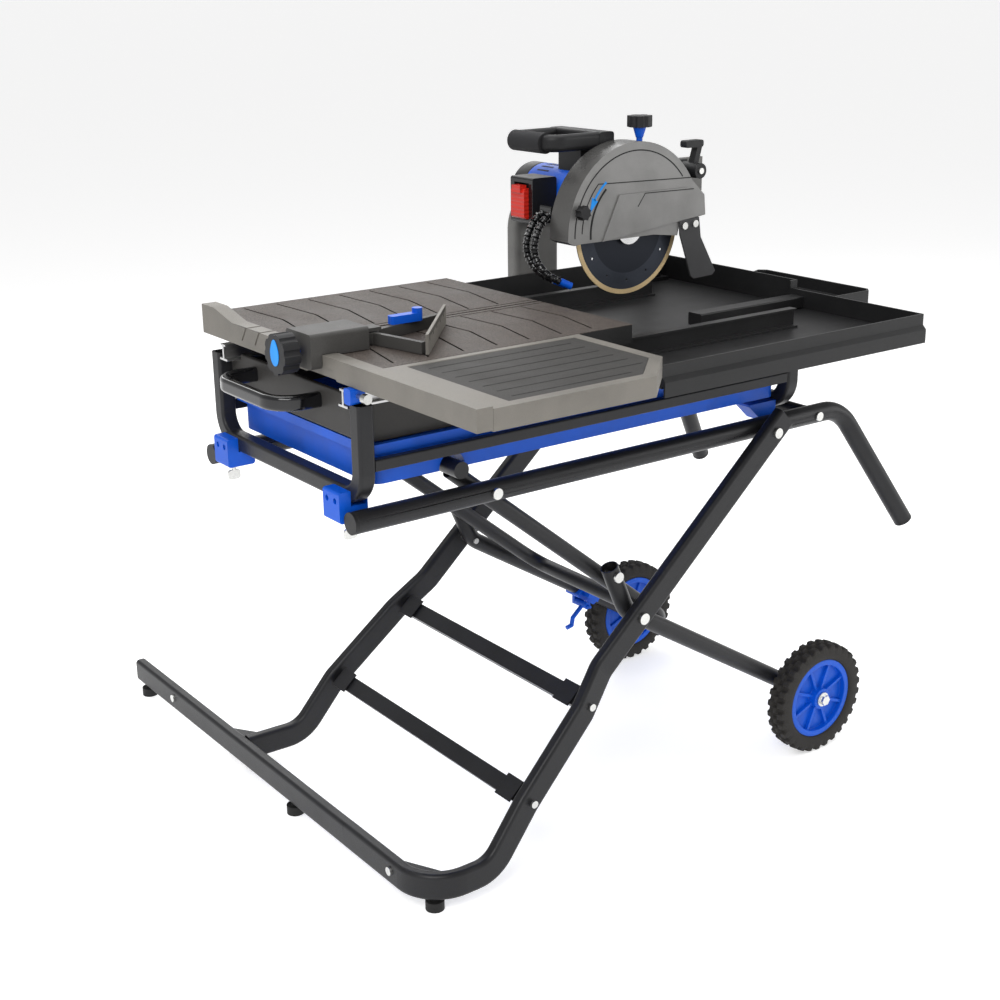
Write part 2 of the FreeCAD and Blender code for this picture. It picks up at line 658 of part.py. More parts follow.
def groove(first, last):
    along = (last - first).normalize()
    side = V(-along.y, along.x, 0) * 2.0
    corners = [first + side, last + side, last - side, first - side]
    return prism([V(point.x, point.y, 962.5) for point in corners], V(0, 0, 1), 10)


def make_fence():
    """Cast bar across the front of the table; its far end stands up as a stop for the tile."""
    low_top = TABLE_TOP + 4
    body = block(FENCE_X0, TABLE_X0, FENCE_NEAR, FENCE_FAR, FENCE_LOW, low_top)
    stop = [V(FENCE_X0, 168, low_top), V(FENCE_X0, 240, FENCE_TOP), V(FENCE_X0, FENCE_FAR, FENCE_TOP)]
    stop.append(V(FENCE_X0, FENCE_FAR, low_top))
    body = body.fuse(prism(stop, V(1, 0, 0), TABLE_X0 - FENCE_X0))
    for y in (118, 70):
        face = [V(FENCE_X0 - 1, y + 18, 944), V(FENCE_X0 - 1, y + 13, 944)]
        face += [V(FENCE_X0 - 1, y - 5, 970), V(FENCE_X0 - 1, y, 970)]
        body = body.cut(prism(face, V(1, 0, 0), 3)).cut(block(FENCE_X0 - 1, TABLE_X0 + 1, y - 5, y, 967, 970))
    arch = [V(FENCE_X0 - 1, -190, 930), V(FENCE_X0 - 1, -178, 950), V(FENCE_X0 - 1, -110, 950)]
    arch += [V(FENCE_X0 - 1, -90, 930)]
    body = body.cut(prism(arch, V(1, 0, 0), 7))
    hollow = block(FENCE_X0 + 8, FENCE_X0 + 21, FENCE_NEAR + 10, FENCE_FAR - 8, FENCE_LOW - 1, 958)
    add("fence", body.cut(hollow))


def make_wing():
    near = FENCE_NEAR
    outline = [V(TABLE_X0, near, TABLE_LOW), V(-237, near, TABLE_LOW), V(WING_BACK, near + 90, TABLE_LOW)]
    outline += [V(WING_BACK, TABLE_NEAR - SEAM, TABLE_LOW), V(TABLE_X0, TABLE_NEAR - SEAM, TABLE_LOW)]
    shape = prism(outline, V(0, 0, 1), TABLE_TOP - TABLE_LOW)
    inner = [V(TABLE_X0 + 8, near + 7, 0), V(-240, near + 7, 0), V(WING_BACK - 8, near + 94, 0)]
    inner += [V(WING_BACK - 8, TABLE_NEAR - 8, 0), V(TABLE_X0 + 8, TABLE_NEAR - 8, 0)]
    hollow = prism([V(point.x, point.y, TABLE_LOW - 1) for point in inner], V(0, 0, 1), 27)
    recess = [V(TABLE_X0 + 44, near + 22, 0), V(-246, near + 22, 0), V(WING_BACK - 20, near + 100, 0)]
    recess += [V(WING_BACK - 20, TABLE_NEAR - 16, 0), V(TABLE_X0 + 44, TABLE_NEAR - 16, 0)]
    panel = prism([V(point.x, point.y, TABLE_TOP - 2) for point in recess], V(0, 0, 1), 5)
    add("side_wing", shape.cut(hollow).cut(panel))


# ------------------------------------------------------------------ guide

def make_guide():
    y = GUIDE_Y
    body = soft_block(-596, -486, y - 40, y + 40, 946, 1004, 6, V(1, 0, 0))
    saddle = block(FENCE_X0 - 1, TABLE_X0 + 1, y - 50, y + 50, 930, TABLE_TOP + 5)
    under = block(TABLE_X0, -480, y - 50, y + 50, 930, TABLE_TOP + 1.5)
    stem_bore = rod(V(-600, y, 972), V(-570, y, 972), 6 + PIN_GAP)
    add("guide_block", body.cut(saddle).cut(under).cut(stem_bore))
    knob = scalloped_knob(V(KNOB_FRONT, y, 972), V(1, 0, 0), 34, 30, 9)
    stem = rod(V(-610, y, 972), V(-577, y, 972), 6)
    add("guide_knob", knob.fuse(stem))
    make_mitre(y)


def scalloped_knob(start, axis, radius, length, count):
    """Round knob with shallow flutes round its edge."""
    body = Part.makeCylinder(radius, length, start, axis)
    side = V(0, 0, 1) if abs(axis.z) < 0.9 else V(1, 0, 0)
    for step in range(count):
        turn = FreeCAD.Rotation(axis, 360.0 * step / count)
        centre = start + turn.multVec(side) * (radius + 4)
        body = body.cut(Part.makeCylinder(7, length + 2, centre - axis, axis))
    return body


def make_mitre(y):
    """Triangular mitre frame that swivels on a pin in the guide block's tongue."""
    pivot = V(-462, y, 0)
    tongue = block(-486.5, -446, y - 14, y + 14, 988, 994)
    pin = Part.makeCylinder(4, 20.5, V(pivot.x, pivot.y, 968))
    parts["guide_block"] = parts["guide_block"].fuse(tongue).fuse(pin)
    base_z = TABLE_TOP + 1.0
    hub = Part.makeCylinder(16, 20, V(pivot.x, pivot.y, base_z))
    tip_near = V(-436, -232, base_z)
    tip_far = V(-286, -60, base_z)
    shape = hub
    for tip in (tip_near, tip_far):
        along = tip - V(pivot.x, pivot.y, base_z)
        middle = V(pivot.x, pivot.y, base_z + 10) + along * 0.5
        direction = along.normalize()
        across = V(-direction.y, direction.x, 0)
        length = (tip - V(pivot.x, pivot.y, base_z)).Length
        shape = shape.fuse(tilted_block(middle, direction, length, across, 10, 20))
    shape = shape.cut(Part.makeCylinder(4 + PIN_GAP, 60, V(pivot.x, pivot.y, 950)))
    face = (tip_far - tip_near).normalize()
    outward = V(face.y, -face.x, 0)
    middle = (tip_near + tip_far) * 0.5 + outward * 7 + V(0, 0, 17)
    ruler = tilted_block(middle, face, (tip_far - tip_near).Length + 16, outward, 5, 34)
    frame_part = shape.cut(ruler)
    add("mitre_frame", max(frame_part.Solids, key=lambda item: item.Volume))
    add("ruler_plate", ruler)
    spot = V(-372, -84, base_z + 20.3)
    handle = soft_block(spot.x - 34, spot.x + 22, spot.y - 9, spot.y + 9, spot.z, spot.z + 14, 5, V(0, 0, 1))
    thumb = Part.makeCylinder(9, 22, V(spot.x + 22, spot.y, spot.z))
    add("mitre_lever", handle.fuse(thumb))


# ------------------------------------------------------------------ head

def make_support():
    """C-shaped column on the far side, a beam behind the motor and an arm to the head's hinge."""
    y0, y1 = 358.0, 404.0
    points = [V(256, y1 - 22, 862), V(256, y1 - 22, 1060), V(256, 282, 1150), V(256, 268, 1150)]
    path = bent_path(points, [70, 6])
    column = path.makePipeShell([oval_wire(points[0], V(1, 0, 0), V(0, 1, 0), 118, 40, 14)], True, False)
    beam = soft_block(197, 430, 256, 292, 1112, 1172, 8, V(1, 0, 0))
    arm = soft_block(392, 430, 58, 292, 1128, 1172, 8, V(0, 1, 0))
    cheek = block(350, 430, 44, 58, 1128, 1196)
    cheek = cheek.cut(y_rod(PLUNGE, 30, 80, 7))
    add("support_column", column.fuse(beam).fuse(arm).fuse(cheek))
    foot = soft_block(186, 330, 350.5, y1 + 12, 846, 862, 4, V(0, 0, 1))
    tie = block(200, 316, 216.2, 351, 850, 862)
    add("column_foot", foot.fuse(tie))
    brace_points = [V(560, 334, 889), V(444, 284, 1150)]
    brace = bar(brace_points, [], V(0, 1, 0), 20, 44, 6, 3)
    pad = block(528, 592, 314, 345.5, TRAY_FLOOR + 4, 896)
    add("rear_brace", brace.common(block(430, 700, 200, 400, 896, 1150)))
    add("brace_foot", pad)


def guard_outline(y):
    """Side outline of the guard: round over the blade, cut level under the arbor, longer at the back."""
    low = 1066.0
    top = V(ARBOR.x, y, ARBOR.z + GUARD_R)
    angle = math.radians(30)
    back = V(ARBOR.x + GUARD_R * math.cos(angle), y, ARBOR.z + GUARD_R * math.sin(angle))
    first = math.radians(182)
    start = V(ARBOR.x + GUARD_R * math.cos(first), y, ARBOR.z + GUARD_R * math.sin(first))
    edges = [Part.Arc(start, top, back).toShape()]
    run = [back, V(372, y, 1132), V(376, y, 1092), V(308, y, 1084), V(302, y, 1058), V(240, y, low)]
    run += [V(60, y, low), V(44, y, low - 2), V(ARBOR.x - GUARD_R - 1, y, low + 6), start]
    for first_point, last_point in zip(run, run[1:]):
        edges.append(Part.LineSegment(first_point, last_point).toShape())
    return Part.Wire(edges)


def make_guard():
    skin = Part.Face(guard_outline(GUARD_Y0)).extrude(V(0, GUARD_Y1 - GUARD_Y0, 0))
    cavity = y_rod(ARBOR, GUARD_Y0 + 4, GUARD_Y1 - 4, BLADE_R + 10)
    mouth = block(30, 330, GUARD_Y0 + 4, GUARD_Y1 - 4, 1000, 1080)
    shape = skin.cut(cavity).cut(mouth.common(y_rod(ARBOR, -40, 40, BLADE_R + 10)))
    shape = shape.cut(y_rod(ARBOR, GUARD_Y0 + 4, 60, 36))
    shape = shape.cut(y_rod(GUARD_SCREW, GUARD_Y0 - 5, GUARD_Y0 + 10, 6 + PIN_GAP))
    shape = shape.cut(rod(V(KNOB_X, 0, 1200), V(KNOB_X, 0, 1280), 6 + PIN_GAP))
    add("blade_guard", shape)
    rib = prism([V(110, 0, 1066), V(150, 0, 1150), V(330, 0, 1150), V(360, 0, 1100), V(360, 0, 1092)],
                V(0, 1, 0), 3)
    rib.translate(V(0, GUARD_Y0 - 3, 0))
    add("guard_panel", rib)


def make_head_back():
    """Belt case behind the guard, with the bearing seats; the motor housing is bolted to it."""
    low = belt_hull(12, GUARD_Y1, GUARD_Y1 + 30)
    high = y_rod(MOTOR, GUARD_Y1, GUARD_Y1 + 30, 50)
    web = prism([V(150, GUARD_Y1, 1180), V(200, GUARD_Y1, 1060), V(376, GUARD_Y1, 1140),
                 V(376, GUARD_Y1, 1196), V(300, GUARD_Y1, 1196)], V(0, 1, 0), 13.4)
    case = low.fuse([high, web])
    case = case.cut(belt_hull(6, GUARD_Y1 + 3, GUARD_Y1 + 27)).cut(y_rod(MOTOR, GUARD_Y1 + 3, GUARD_Y1 + 27, 44))
    case = case.cut(y_rod(ARBOR, GUARD_Y1 - 1, GUARD_Y1 + 40, 16))
    case = case.cut(y_rod(MOTOR, GUARD_Y1 + 20, GUARD_Y1 + 40, 12))
    case = case.cut(y_rod(PLUNGE, 0, 80, 7 + PIN_GAP))
    add("belt_case", case)
    add("hinge_pin", y_rod(PLUNGE, GUARD_Y1 + 1, 58, 7).fuse(y_rod(PLUNGE, 58, 66, 12)))


def make_motor():
    y0 = GUARD_Y1 + 30
    shell = y_ring(MOTOR, y0, 205, MOTOR_R, MOTOR_R - 4)
    plate = y_ring(MOTOR, y0, y0 + 4, MOTOR_R - 3, 12)
    add("motor_housing", shell.fuse(plate))
    cap = y_rod(MOTOR, 205, 245, MOTOR_R).cut(y_rod(MOTOR, 204, 240, MOTOR_R - 4))
    for step in range(12):
        turn = math.radians(30 * step)
        centre = V(MOTOR.x + 34 * math.cos(turn), 0, MOTOR.z + 34 * math.sin(turn))
        cap = cap.cut(y_rod(centre, 236, 250, 5))
    add("motor_end_cap", cap)
    shaft = y_rod(MOTOR, GUARD_Y1 + 6, 236, 6)
    rotor = y_rod(MOTOR, 90, 170, 28)
    fan = y_rod(MOTOR, 178, 190, 40)
    add("motor_rotor", shaft.fuse(rotor).fuse(fan))
    add("motor_stator", y_ring(MOTOR, 88, 172, MOTOR_R - 4.2, 30))
    pulley = y_ring(MOTOR, GUARD_Y1 + 8, GUARD_Y1 + 22, 16, 6)
    add("motor_pulley", pulley)
    add("arbor_pulley", y_ring(ARBOR, GUARD_Y1 + 8, GUARD_Y1 + 22, 32, 8))
    y0 = GUARD_Y1 + 9
    y1 = GUARD_Y1 + 21
    add("drive_belt", belt_hull(3.4, y0, y1).cut(belt_hull(0.4, y0, y1)))


def belt_hull(extra, y0, y1):
    """Solid outline round both pulleys, standing off them by the extra."""
    big = 32 + extra
    small = 16 + extra
    line = MOTOR - ARBOR
    spread = math.acos((big - small) / line.Length)
    heading = math.atan2(line.z, line.x)
    points = []
    for centre, radius, sign in ((ARBOR, big, 1), (MOTOR, small, 1), (MOTOR, small, -1), (ARBOR, big, -1)):
        angle = heading + sign * spread
        points.append(V(centre.x + radius * math.cos(angle), y0, centre.z + radius * math.sin(angle)))
    middle = prism(points, V(0, 1, 0), y1 - y0)
    return middle.fuse(y_rod(ARBOR, y0, y1, big)).fuse(y_rod(MOTOR, y0, y1, small))


def make_blade():
    half = BLADE_T / 2
    core = y_rod(ARBOR, -half, half, BLADE_R - RIM_DEPTH).cut(y_rod(ARBOR, -5, 5, 8))
    for step in range(12):
        angle = math.radians(30 * step)
        spot = V(ARBOR.x + 100 * math.cos(angle), 0, ARBOR.z + 100 * math.sin(angle))
        core = core.cut(y_rod(spot, -5, 5, 2.5))
    add("blade_core", core)
    add("blade_rim", y_ring(ARBOR, -half - 0.3, half + 0.3, BLADE_R, BLADE_R - RIM_DEPTH))
    flanges = []
    for y0, y1 in ((-half - 8, -half), (half, half + 8)):
        flanges.append(y_ring(ARBOR, y0, y1, 30, 8))
    group("blade_flanges", flanges)
    add("arbor", y_rod(ARBOR, -20, GUARD_Y1 + 28, 8))
    nut = hex_head(ARBOR, -17.5, 8, 14)
    add("arbor_nut", nut.cut(y_rod(ARBOR, -30, 0, 8)))
    add("arbor_bearing", y_ring(ARBOR, GUARD_Y1 + 0.2, GUARD_Y1 + 7.5, 16, 8 + PIN_GAP))


def make_switch():
    box_shell = soft_block(38, 96.5, 96, 166, 1090, 1178, 5, V(0, 1, 0))
    pocket = block(36, 56, 108, 154, 1098, 1168)
    add("switch_box", box_shell.cut(pocket).cut(y_rod(MOTOR, 90, 170, MOTOR_R + 0.05)))
    paddle = soft_block(28, 50, 110, 152, 1100, 1158, 6, V(0, 1, 0))
    lip = block(24, 40, 118, 144, 1150, 1164)
    add("switch_paddle", paddle.fuse(lip))


def make_handle():
    """Closed D-handle over the motor; its front bar carries the grip sleeve."""
    z = HANDLE_Z
    points = [V(158, HANDLE_FAR, z), V(44, HANDLE_FAR, z), V(44, HANDLE_NEAR, z), V(158, HANDLE_NEAR, z)]
    path = bent_path(points, [26, 26])
    loop = path.makePipeShell([oval_wire(points[0], V(0, 1, 0), V(0, 0, 1), 23, 32, 10)], True, False)
    bridge = soft_block(150, 186, HANDLE_NEAR - 12, 188, z - 16, z + 16, 6, V(0, 1, 0))
    stalk = block(128, 178, 62, 130, 1180, z - 15).cut(y_rod(MOTOR, 50, 200, MOTOR_R + 0.05))
    centre = V(44, 0, z)
    add("d_handle", loop.fuse(bridge).fuse(stalk).cut(y_rod(centre, 62, 158, 20)))
    add("handle_grip", y_rod(centre, 62.2, 157.8, 19.5))


def hose_points(offset):
    return [
        V(40, 44 + offset, 1120),
        V(18, 46 + offset, 1104),
        V(2, 44 + offset, 1080),
        V(-6, 40 + offset, 1052),
        V(0, 32 + offset * 0.95, 1026),
        V(16, 24 + offset * 0.9, 1006),
        V(36, 16 + offset * 0.85, 994),
    ]


def make_hoses():
    """Two coolant hoses of ball-and-socket links, stiff enough to stay where they are bent."""
    links = []
    nozzles = []
    for offset in (-6, 18):
        curve = Part.BSplineCurve()
        curve.interpolate(hose_points(offset))
        count = 11
        low, high = curve.FirstParameter, curve.LastParameter
        spots = [curve.value(low + (high - low) * step / count) for step in range(count + 1)]
        for first, last in zip(spots, spots[1:]):
            reach = last - first
            ball = Part.makeSphere(7.0, first + reach * 0.35)
            collar = Part.makeCone(5.0, 7.8, reach.Length * 0.5, first + reach * 0.45, reach)
            links.append(ball.fuse(collar))
        outward = (spots[-1] - spots[-2]).normalize()
        nozzles.append(Part.makeCylinder(7, 24, spots[-1] + outward * 2, outward))
    hose = links[0].fuse(links[1:])
    group("coolant_nozzles", nozzles)
    for nozzle in nozzles:
        hose = hose.cut(nozzle)
    group("coolant_hoses", hose.Solids)
    block_shape = soft_block(34, 52, 34, 68, 1108, 1132, 4, V(0, 1, 0)).cut(Part.Compound(hose.Solids))
    add("water_manifold", block_shape.cut(y_rod(MOTOR, 30, 70, 50.05)))


def make_head_trim():
    knob = scalloped_knob(V(KNOB_X, 0, 1270), V(0, 0, 1), 24, 21, 7)
    stem = Part.makeCone(7, 13, 20, V(KNOB_X, 0, 1250)).fuse(Part.makeCylinder(6, 16, V(KNOB_X, 0, 1236)))
    add("depth_knob", knob.fuse(stem))
    small = scalloped_knob(GUARD_SCREW + V(0, GUARD_Y0 - 20, 0), V(0, 1, 0), 14, 16, 8)
    shank = y_rod(GUARD_SCREW, GUARD_Y0 - 6, GUARD_Y0 + 8, 6)
    add("guard_knob", small.fuse(shank))
    lever = y_rod(PLUNGE, GUARD_Y0 + 2, GUARD_Y1 - 5, 15)
    blade = tilted_block(V(370, 2, 1206), V(0.28, 0, 0.96).normalize(), 44, V(0, 1, 0), 16, 12)
    top = soft_block(338, 384, -7, 11, 1222, 1236, 5, V(0, 1, 0))
    lever = lever.fuse(blade).fuse(top).cut(y_rod(PLUNGE, -40, 40, 6 + PIN_GAP))
    add("lock_lever", lever)
    pin = y_rod(PLUNGE, GUARD_Y0 - 1, GUARD_Y1 - 3, 6).fuse(y_rod(PLUNGE, GUARD_Y1 - 4, GUARD_Y1, 12))
    add("lever_pin", pin)
    flap = [V(304, 0, 1086), V(356, 0, 1090), V(362, 0, 1050), V(404, 0, 978), V(396, 0, 970)]
    flap += [V(346, 0, 968), V(338, 0, 974), V(306, 0, 1060)]
    plate = prism([V(point.x, GUARD_Y0 - 4, point.z) for point in flap], V(0, 1, 0), 4)
    add("splash_flap", plate)
    screws = []
    for x, z in ((316, 1076), (344, 1078)):
        screws.append(y_rod(V(x, 0, z), GUARD_Y0 - 8, GUARD_Y0 - 4, 7))
    group("flap_bolts", screws)


# ------------------------------------------------------------------ build

# Sub-parts that are welded, bolted or moulded together and share a finish, kept as separate solids.
JOINED = {
    "top_tubes": ["top_tube_near", "top_tube_far", "rear_cross_tube"],
    "end_plugs": ["tube_end_caps", "drain_plug"],
    "frame_fasteners": ["stand_pivot_bolts", "wing_screws", "hinge_pin"],
    "u_frames": ["front_u_frame", "rear_u_frame"],
    "side_rails": ["side_rail_near", "side_rail_far"],
    "clamp_blocks": ["front_clamps", "rear_clamps", "table_lock_housing"],
    "front_panel": ["front_panel", "bow_handle"],
    "slide_rails": ["slide_rail_near", "slide_rail_far"],
    "splash_tray": ["splash_tray", "tray_rib", "rail_extension_near", "rail_extension_far"],
    "support_brackets": ["rear_brace", "brace_foot", "column_foot", "tray_brackets"],
    "rungs": ["rung_1", "rung_2", "rung_plates", "gusset_plates"],
    "leg_bolts": ["leg_bolts", "leg_pivot_bolts"],
    "wheel_legs": ["wheel_leg_near", "wheel_leg_far"],
    "wheel_leg_bolts": ["link_bolts", "axle_bolts"],
    "latch_body": ["latch_body", "latch_pin"],
    "yoke": ["yoke", "yoke_cross_tube", "yoke_plugs"],
    "table_runners": ["table_runners", "table_glides"],
    "blade_guard": ["blade_guard", "guard_panel"],
    "d_handle": ["d_handle", "handle_grip"],
    "coolant_hoses": ["coolant_hoses", "water_manifold"],
    "head_fasteners": ["lever_pin", "flap_bolts", "arbor_bearing"],
    "motor_rotor": ["motor_rotor", "motor_pulley"],
    "arbor": ["arbor", "arbor_pulley", "blade_flanges", "arbor_nut"],
}


def build_all():
    make_top_frame()
    make_legs()
    make_wheel_legs()
    make_wheels()
    make_yoke()
    make_latch()
    make_saw_frame()
    make_pan()
    make_deck()
    make_rails()
    make_tray()
    make_table()
    make_fence()
    make_wing()
    make_guide()
    make_support()
    make_guard()
    make_head_back()
    make_motor()
    make_blade()
    make_switch()
    make_handle()
    make_hoses()
    make_head_trim()


def join_parts():
    for name, members in JOINED.items():
        solids = []
        for member in members:
            solids += parts.pop(member).Solids
        parts[name] = Part.Compound(solids)


def origin_shift():
    """To the bottom centre of the box from the guide knob to the rear tray and from the fence to the crossbar."""
    return V(-(KNOB_FRONT + REAR_TRAY_X1) / 2, -(FENCE_NEAR + BASE_FAR + CAP_T) / 2, 0)


def export_all(shift):
    os.makedirs("parts", exist_ok=True)
    for name, shape in parts.items():
        placed = shape.copy()
        placed.translate(shift)
        placed.exportStep("parts/" + name + ".step")


build_all()
join_parts()
SHIFT = origin_shift()
export_all(SHIFT)
print("nodes", len(parts), "shift", SHIFT)
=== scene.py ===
import math

import bpy
from mathutils import Matrix, Vector


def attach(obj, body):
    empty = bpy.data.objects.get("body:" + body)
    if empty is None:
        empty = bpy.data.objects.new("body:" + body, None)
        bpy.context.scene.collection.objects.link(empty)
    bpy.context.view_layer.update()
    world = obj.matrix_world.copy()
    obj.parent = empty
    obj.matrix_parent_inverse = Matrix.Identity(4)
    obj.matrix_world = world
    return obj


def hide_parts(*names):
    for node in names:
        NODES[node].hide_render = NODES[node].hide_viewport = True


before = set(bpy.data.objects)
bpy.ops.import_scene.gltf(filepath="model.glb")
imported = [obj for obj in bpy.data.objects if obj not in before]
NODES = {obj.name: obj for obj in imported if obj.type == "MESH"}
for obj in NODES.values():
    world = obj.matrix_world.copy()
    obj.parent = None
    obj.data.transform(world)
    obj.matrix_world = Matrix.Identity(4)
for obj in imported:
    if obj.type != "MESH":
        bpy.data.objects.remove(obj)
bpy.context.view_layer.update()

# The CAD source is laid out in millimetres with the blade's plane at Y = 0.
# This moves that layout to the frame.
SHIFT = Vector((-71.0, -130.5, 0.0))
ARBOR = (194.0, 1080.0)
MOTOR = (150.0, 1137.0)
MOTOR_RADIUS = 54.0
SLOT_COUNT = 26
KNOB_CENTRE = (-107.0, 972.0)
KNOB_FACE = -640.0
RULER_FACE = 9.55
RULER_TOP = 999.4
TICK_COUNT = 19
GUARD_FACE = -26.0
FENCE_SKIN = -574.8
PANEL_FACE = -29.0


def spot(x, y, z):
    """A point of the CAD layout, in the frame's metres."""
    return (Vector((x, y, z)) + SHIFT) / 1000.0


# ------------------------------------------------------------------ materials

BLUE = (0.0, 0.085, 0.56)
BLACK = (0.011, 0.011, 0.012)
WARM_GREY = (0.19, 0.178, 0.158)


def shade(color, factor):
    return tuple(min(1.0, c * factor) for c in color) + (1.0,)


class Surface:
    """A procedural finish whose colour and roughness vary, with a grain that raises a bump.

    color is linear RGB, grain is the noise's scale per metre, relief is the bump's strength, spread is the
    share by which the colour varies, and stretch scales the noise along each axis.
    """

    def __init__(self, name, color, rough, grain, relief, spread, metal=0.0, stretch=(1, 1, 1)):
        self.material = bpy.data.materials.new(name)
        self.material.use_nodes = True
        self.tree = self.material.node_tree
        self.shader = self.tree.nodes["Principled BSDF"]
        self.place = self.tree.nodes.new("ShaderNodeTexCoord").outputs["Object"]
        self.shader.inputs["Metallic"].default_value = metal
        self.shader.inputs["Specular IOR Level"].default_value = 0.28
        mapping = self.tree.nodes.new("ShaderNodeMapping")
        mapping.inputs["Scale"].default_value = stretch
        self.link(self.place, mapping.inputs["Vector"])
        self.grain = self.noise(mapping.outputs["Vector"], grain, 4.0)
        self.mottle = self.noise(self.place, 14.0, 3.0)
        self.color = self.mix_by(self.grain, shade(color, 1 - spread), shade(color, 1 + spread), 0.3, 0.7)
        darker = self.mix_by(self.mottle, shade((1, 1, 1), 0.82), shade((1, 1, 1), 1.0), 0.3, 0.6)
        self.color = self.blend("MULTIPLY", self.color, darker, 1.0)
        self.rough(rough)
        bump = self.tree.nodes.new("ShaderNodeBump")
        bump.inputs["Strength"].default_value = relief
        bump.inputs["Distance"].default_value = 0.0006
        self.link(self.grain, bump.inputs["Height"])
        self.link(bump.outputs["Normal"], self.shader.inputs["Normal"])
        self.bump = bump
        self.finish()

    def link(self, source, target):
        self.tree.links.new(source, target)

    def noise(self, vector, scale, detail):
        node = self.tree.nodes.new("ShaderNodeTexNoise")
        node.inputs["Scale"].default_value = scale
        node.inputs["Detail"].default_value = detail
        self.link(vector, node.inputs["Vector"])
        return node.outputs["Fac"]

    def mix_by(self, factor, low, high, start, end):
        ramp = self.tree.nodes.new("ShaderNodeValToRGB")
        ramp.color_ramp.elements[0].position = start
        ramp.color_ramp.elements[0].color = low
        ramp.color_ramp.elements[1].position = end
        ramp.color_ramp.elements[1].color = high
        self.link(factor, ramp.inputs["Fac"])
        return ramp.outputs["Color"]

    def blend(self, mode, first, second, factor):
        node = self.tree.nodes.new("ShaderNodeMix")
        node.data_type = "RGBA"
        node.blend_type = mode
        if isinstance(factor, float):
            node.inputs[0].default_value = factor
        else:
            self.link(factor, node.inputs[0])
        self.link(first, node.inputs[6])
        if isinstance(second, tuple):
            node.inputs[7].default_value = second
        else:
            self.link(second, node.inputs[7])
        return node.outputs[2]

    def math(self, operation, first, second):
        node = self.tree.nodes.new("ShaderNodeMath")
        node.operation = operation
        node.use_clamp = True
        self.link(first, node.inputs[0])
        node.inputs[1].default_value = second
        return node.outputs[0]

    def rough(self, value):
        node = self.tree.nodes.new("ShaderNodeMapRange")
        node.inputs["To Min"].default_value = value * 0.8
        node.inputs["To Max"].default_value = min(1.0, value * 1.25)
        self.link(self.mottle, node.inputs["Value"])
        self.link(node.outputs["Result"], self.shader.inputs["Roughness"])

    def below(self, axis, limit):
        """1 where the frame coordinate is under the limit, 0 elsewhere."""
        node = self.tree.nodes.new("ShaderNodeSeparateXYZ")
        self.link(self.place, node.inputs["Vector"])
        return self.math("LESS_THAN", node.outputs[axis], limit)

    def from_point(self, point):
        """Distance from a point, in metres."""
        node = self.tree.nodes.new("ShaderNodeVectorMath")
        node.operation = "DISTANCE"
        self.link(self.place, node.inputs[0])
        node.inputs[1].default_value = point
        return node.outputs["Value"]

    def speckle(self, color, scale, share):
        cells = self.tree.nodes.new("ShaderNodeTexVoronoi")
        cells.inputs["Scale"].default_value = scale
        self.link(self.place, cells.inputs["Vector"])
        dots = self.math("LESS_THAN", cells.outputs["Distance"], share)
        self.color = self.blend("MIX", self.color, color + (1.0,), dots)
        self.finish()
        return self

    def finish(self):
        self.link(self.color, self.shader.inputs["Base Color"])
        return self

    def coat(self, weight, rough):
        self.shader.inputs["Coat Weight"].default_value = weight
        self.shader.inputs["Coat Roughness"].default_value = rough
        return self


powder = Surface("powder_black", (0.014, 0.014, 0.0155), 0.36, 1400, 0.22, 0.3)
tray_black = Surface("tray_black", (0.012, 0.012, 0.0125), 0.38, 1100, 0.25, 0.3)
plastic = Surface("plastic_black", BLACK, 0.42, 1600, 0.16, 0.2)
gloss = Surface("gloss_black", (0.006, 0.006, 0.007), 0.14, 500, 0.05, 0.2).coat(0.5, 0.08)
panel_grey = Surface("panel_grey", (0.036, 0.034, 0.032), 0.48, 1500, 0.18, 0.25)
blue = Surface("plastic_blue", BLUE, 0.40, 1500, 0.08, 0.08)
zinc = Surface("zinc", (0.66, 0.66, 0.64), 0.30, 700, 0.12, 0.12, 1.0)
cast = Surface("cast_grey", WARM_GREY, 0.50, 1300, 0.3, 0.14, 0.35)
arm_grey = Surface("arm_grey", (0.15, 0.148, 0.142), 0.45, 1300, 0.25, 0.12, 0.3)
guard_grey = Surface("guard_grey", (0.215, 0.213, 0.208), 0.40, 1500, 0.16, 0.10, 0.4)
rim_grey = Surface("rim_grey", (0.10, 0.098, 0.095), 0.28, 1500, 0.10, 0.12, 0.4)
dark_grey = Surface("dark_grey", (0.055, 0.053, 0.050), 0.50, 1400, 0.25, 0.2)
flap_grey = Surface("flap_rubber", (0.048, 0.048, 0.050), 0.62, 1800, 0.3, 0.15)
rubber = Surface("tyre_rubber", (0.022, 0.020, 0.018), 0.72, 700, 0.45, 0.4)
foot_rubber = Surface("foot_rubber", (0.012, 0.012, 0.012), 0.6, 900, 0.3, 0.3)
foam = Surface("foam_grip", (0.020, 0.020, 0.022), 0.75, 1100, 0.9, 0.45)
aluminium = Surface("aluminium", (0.62, 0.62, 0.62), 0.32, 500, 0.15, 0.1, 1.0, (0.05, 1, 1))
chrome = Surface("chrome", (0.78, 0.78, 0.78), 0.14, 400, 0.05, 0.08, 1.0)
red = Surface("red_plastic", (0.62, 0.022, 0.012), 0.32, 1500, 0.1, 0.1).coat(0.2, 0.15)
gold = Surface("gold_rim", (0.62, 0.47, 0.26), 0.42, 1500, 0.5, 0.25, 0.7)
# Black for the dark marks and lines; on the motor the same black is painted shade in the cooling slots.
marks_and_slot_shade = Surface("black_marks_and_slot_shade", (0.008, 0.008, 0.008), 0.6, 900, 0.1, 0.2)
arrow_blue = Surface("arrow_blue", (0.0, 0.26, 0.80), 0.35, 900, 0.05, 0.06)
laminate = Surface("laminations", (0.22, 0.20, 0.18), 0.45, 400, 0.4, 0.2, 0.8, (1, 20, 1))


